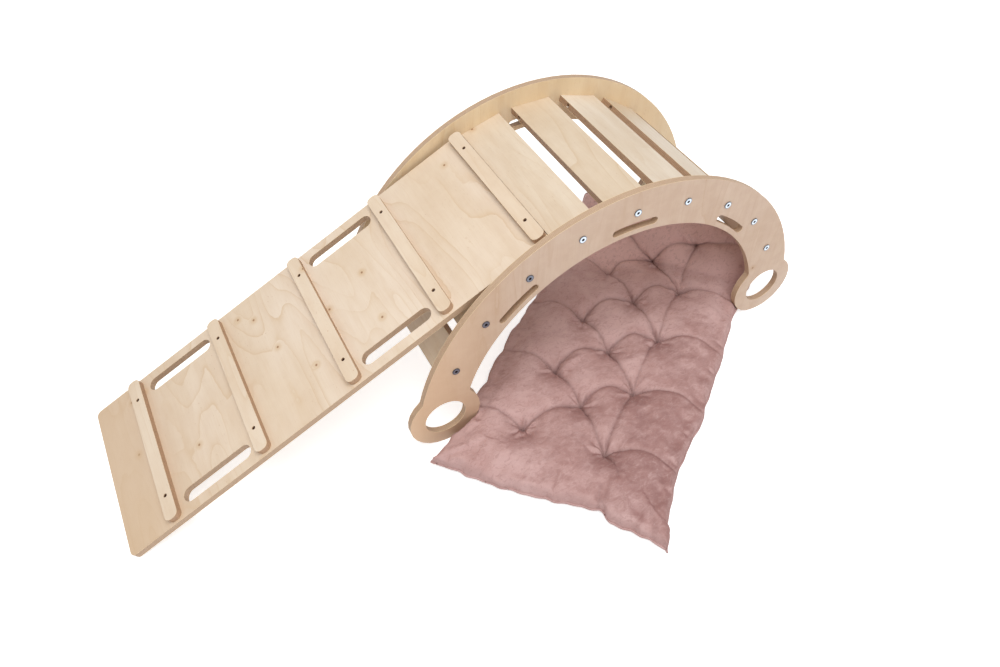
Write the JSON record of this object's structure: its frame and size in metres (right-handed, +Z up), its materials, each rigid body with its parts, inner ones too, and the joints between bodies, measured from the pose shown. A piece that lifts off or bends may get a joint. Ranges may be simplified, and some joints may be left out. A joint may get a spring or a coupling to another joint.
{
  "type": "climbing arch rocker",
  "caption": "Plywood climbing arch that also rocks upside down, with a hook-on ramp with rungs and hand slots, and a tufted velvet floor cushion under it.",
  "frame": {"origin": "middle of the footprint of arch, ramp and cushion together, on the floor", "axes": "+X runs along the arch, from the foot of the ramp up it and over the arch; +Y goes from the near side panel to the far one; +Z is up"},
  "size_m": [1.6426, 0.9216, 0.5347],
  "materials": {
    "birch": "clear satin lacquer on birch plywood",
    "zinc": "bright zinc plating",
    "browned_steel": "browned steel screws",
    "velvet": "dusty mauve velvet"
  },
  "bodies": {
    "arch": {"bolt_far_1": "zinc", "bolt_far_2": "zinc", "bolt_far_3": "zinc", "bolt_far_4": "zinc", "bolt_far_5": "zinc", "bolt_far_6": "zinc", "bolt_far_7": "zinc", "bolt_far_8": "zinc", "bolt_far_9": "zinc", "bolt_near_1": "zinc", "bolt_near_2": "zinc", "bolt_near_3": "zinc", "bolt_near_4": "zinc", "bolt_near_5": "zinc", "bolt_near_6": "zinc", "bolt_near_7": "zinc", "bolt_near_8": "zinc", "bolt_near_9": "zinc", "side_panel_far": "birch", "side_panel_near": "birch", "slat_1": "birch", "slat_2": "birch", "slat_3": "birch", "slat_4": "birch", "slat_5": "birch", "slat_6": "birch", "slat_7": "birch", "slat_8": "birch", "slat_9": "birch"},
    "ramp": {"hook_batten": "birch", "hook_screw_far": "browned_steel", "hook_screw_near": "browned_steel", "ramp_board": "birch", "ramp_rung_1": "birch", "ramp_rung_2": "birch", "ramp_rung_3": "birch", "ramp_rung_4": "birch", "ramp_rung_5": "birch", "rung_screw_far_1": "browned_steel", "rung_screw_far_2": "browned_steel", "rung_screw_far_3": "browned_steel", "rung_screw_far_4": "browned_steel", "rung_screw_far_5": "browned_steel", "rung_screw_near_1": "browned_steel", "rung_screw_near_2": "browned_steel", "rung_screw_near_3": "browned_steel", "rung_screw_near_4": "browned_steel", "rung_screw_near_5": "browned_steel"},
    "cushion": {"floor_cushion": "velvet"}
  },
  "joints": [
    {"name": "ramp_lift", "type": "hinge", "parent": "arch", "child": "ramp", "pos_m": [0.09334, 0.23366, 0.44442], "axis": [0, 1, 0], "range_deg": [0, 20]},
    {"name": "cushion_slide", "type": "slide", "parent": "arch", "child": "cushion", "axis": [-0.7034, -0.7108, 0], "range_m": [0, 0.5]}
  ]
}
